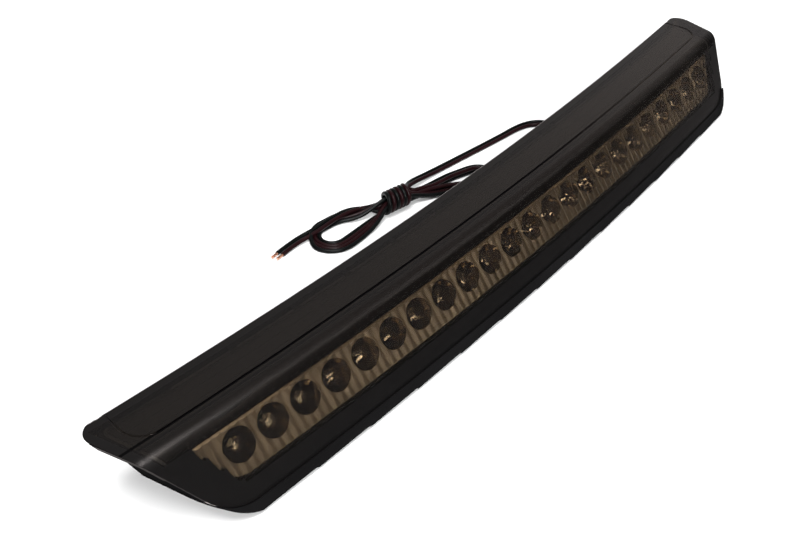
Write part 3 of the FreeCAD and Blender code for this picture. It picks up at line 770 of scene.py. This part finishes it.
def make_cups():
    """Petalled mirror skin in each cup: concave leaves that meet in sharp ribs."""
    bm = bmesh.new()
    for s in LED_PLACES:
        rows = []
        for k in range(CUP_RINGS):
            share = k / (CUP_RINGS - 1)
            radius = CUP_MOUTH + (CUP_THROAT - CUP_MOUTH) * share
            swell = CUP_SINK * math.sin(math.pi * share)
            row = []
            for j in range(CUP_SIDES):
                angle = 2 * math.pi * j / CUP_SIDES
                rib = 1 - abs(math.sin(CUP_PETALS * angle / 2))
                reach = radius - swell * (0.4 + rib) - CUP_GAP
                place = around(s, LED_ROW, CUP_FRONT + CUP_DEPTH * share, reach, angle)
                row.append(bm.verts.new(place))
            rows.append(row)
        grid_faces(bm, rows, True)
    bmesh.ops.recalc_face_normals(bm, faces=bm.faces)
    cups = mesh_object("cup_mirrors", bm, "cup_metal")
    smooth_quads(cups)
    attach(cups, "root")


def turned(bm, s, profile, sides=20):
    """Round shape about an LED's axis, from (radius, depth) points."""
    rows = []
    for radius, depth in profile:
        row = []
        for j in range(sides):
            angle = 2 * math.pi * j / sides
            row.append(bm.verts.new(around(s, LED_ROW, depth * MM, radius * MM, angle)))
        rows.append(row)
    grid_faces(bm, rows, True)
    bm.faces.new(rows[0])
    bm.faces.new(reversed(rows[-1]))


# Each lamp's cup, post and chip as (radius, depth), in millimetres.
LAMP_CUP = [(0.9, 12.6), (1.2, 9.4), (1.95, 7.5), (1.9, 7.35), (1.45, 8.1), (0.9, 8.55),
            (0.4, 8.7)]
LAMP_POST = [(0.45, 12.6), (0.45, 8.9), (0.3, 8.5)]
LAMP_POST_OFFSET = 1.55 * MM
LAMP_DIE = [(0.35, 8.65), (0.35, 8.5), (0.25, 8.45)]


def make_lamp_insides():
    """The metal cup and post cast into each lamp, and the chip in the cup."""
    frame_bm = bmesh.new()
    die_bm = bmesh.new()
    for s in LED_PLACES:
        turned(frame_bm, s, LAMP_CUP)
        turned(frame_bm, s + LAMP_POST_OFFSET, LAMP_POST, 12)
        turned(die_bm, s, LAMP_DIE, 12)
    for name, bm, look in (("lamp_frames", frame_bm, "lead_frame"),
                           ("lamp_dies", die_bm, "led_die")):
        bmesh.ops.recalc_face_normals(bm, faces=bm.faces)
        obj = mesh_object(name, bm, look)
        smooth_quads(obj)
        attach(obj, "root")


OPTICS_FRONT = 2.23 * MM
OPTICS_BACK = 2.40 * MM
FLUTE_RISE = 0.20 * MM
OPTICS_SPAN = (4.6 * MM, 22.0 * MM)
OPTICS_TOP = (-160.0 * MM, 164.0 * MM)
OPTICS_FOOT = (-150.5 * MM, 154.5 * MM)
OPTICS_ROWS = 5
STEPS_PER_FLUTE = 10


def make_optics():
    """Clear strip behind the lens's window: flat in front, fluted down its back."""
    bm = bmesh.new()
    step = FLUTE_PITCH / STEPS_PER_FLUTE
    rows = []
    for k in range(OPTICS_ROWS):
        share = k / (OPTICS_ROWS - 1)
        down = OPTICS_SPAN[0] + (OPTICS_SPAN[1] - OPTICS_SPAN[0]) * share
        left = OPTICS_TOP[0] + (OPTICS_FOOT[0] - OPTICS_TOP[0]) * share
        right = OPTICS_TOP[1] + (OPTICS_FOOT[1] - OPTICS_TOP[1]) * share
        count = round((OPTICS_TOP[1] - OPTICS_TOP[0]) / step)
        row = []
        for j in range(count + 1):
            s = left + (right - left) * j / count
            crest = abs(math.cos(math.pi * (s - LED_PLACES[0]) / FLUTE_PITCH))
            depth = OPTICS_BACK + FLUTE_RISE * crest
            row.append((bm.verts.new(face_point(s, down, OPTICS_FRONT)),
                        bm.verts.new(face_point(s, down, depth))))
        rows.append(row)
    for side in (0, 1):
        grid_faces(bm, [[pair[side] for pair in row] for row in rows], False)
    for row in (rows[0], rows[-1]):
        grid_faces(bm, [[pair[0] for pair in row], [pair[1] for pair in row]], False)
    for j in (0, -1):
        grid_faces(bm, [[row[j][0] for row in rows], [row[j][1] for row in rows]], False)
    bmesh.ops.recalc_face_normals(bm, faces=bm.faces)
    optics = mesh_object("lens_flutes", bm, "optic_plastic")
    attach(optics, "root")


RIM_FLUTES = (-157.0 * MM, 158.0 * MM)
RIM_DOWN = 5.85 * MM
RIM_DEPTH = 3.9 * MM
RIM_RADIUS = 0.72 * MM


def make_reflector_rim():
    """Small bead along the reflector's upper edge, swelling at every flute."""
    bm = bmesh.new()
    step = FLUTE_PITCH / STEPS_PER_FLUTE
    count = round((RIM_FLUTES[1] - RIM_FLUTES[0]) / step)
    columns = []
    for j in range(count + 1):
        s = RIM_FLUTES[0] + step * j
        swell = 0.3 + 0.7 * abs(math.sin(math.pi * (s - LED_PLACES[0]) / FLUTE_PITCH))
        column = []
        for k in range(7):
            angle = math.pi * k / 6
            down = RIM_DOWN - RIM_RADIUS * swell * math.cos(angle)
            depth = RIM_DEPTH - RIM_RADIUS * swell * math.sin(angle)
            column.append(bm.verts.new(face_point(s, down, depth)))
        columns.append(column)
    grid_faces(bm, columns, False)
    bmesh.ops.recalc_face_normals(bm, faces=bm.faces)
    rim = mesh_object("reflector_rim", bm, "edge_metal_painted_highlight")
    smooth_quads(rim)
    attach(rim, "root")


make_cups()
make_lamp_insides()
make_optics()
make_reflector_rim()


# --- floor, lights and world --------------------------------------------------------------------
def make_floor():
    bm = bmesh.new()
    bmesh.ops.create_grid(bm, x_segments=1, y_segments=1, size=6.0)
    data = bpy.data.meshes.new("floor")
    bm.to_mesh(data)
    bm.free()
    floor = bpy.data.objects.new("floor", data)
    bpy.context.scene.collection.objects.link(floor)
    look = Shader("floor_paper")
    tone = look.ramp(look.noise(3.0), [(0.3, (0.90, 0.90, 0.90)), (0.7, (0.92, 0.92, 0.92))])
    data.materials.append(look.finish(look.principled(Base_Color=tone, Roughness=0.9)))


def area_light(name, place, size, power):
    """Soft light that points at the middle of the part."""
    data = bpy.data.lights.new(name, "AREA")
    data.shape = "RECTANGLE"
    data.size = size[0]
    data.size_y = size[1]
    data.energy = power
    lamp = bpy.data.objects.new(name, data)
    bpy.context.scene.collection.objects.link(lamp)
    lamp.location = place
    lamp.rotation_euler = (-Vector(place)).to_track_quat("-Z", "Y").to_euler()


BRIGHT_SIDE = (0.64, 0.75, -0.15)


def make_lights():
    area_light("key_softbox", (0.95, -0.36, 1.3), (0.7, 0.7), 0.9)
    area_light("overhead", (-0.4, -0.2, 2.2), (1.2, 1.2), 60.0)
    area_light("strip", (-0.75, -1.05, 1.1), (0.4, 0.14), 24.0)
    world = bpy.data.worlds.new("studio")
    world.use_nodes = True
    tree = world.node_tree
    towards = tree.nodes.new("ShaderNodeVectorMath")
    towards.operation = "DOT_PRODUCT"
    towards.inputs[1].default_value = BRIGHT_SIDE
    tree.links.new(tree.nodes.new("ShaderNodeTexCoord").outputs["Generated"], towards.inputs[0])
    shade = tree.nodes.new("ShaderNodeMapRange")
    shade.interpolation_type = "SMOOTHSTEP"
    shade.inputs["From Min"].default_value = 0.2
    shade.inputs["From Max"].default_value = 1.0
    shade.inputs["To Min"].default_value = 0.04
    shade.inputs["To Max"].default_value = 0.66
    tree.links.new(towards.outputs["Value"], shade.inputs["Value"])
    tree.links.new(shade.outputs["Result"], tree.nodes["Background"].inputs["Color"])
    bpy.context.scene.world = world
    bpy.context.scene.view_settings.view_transform = "Standard"


make_floor()
make_lights()
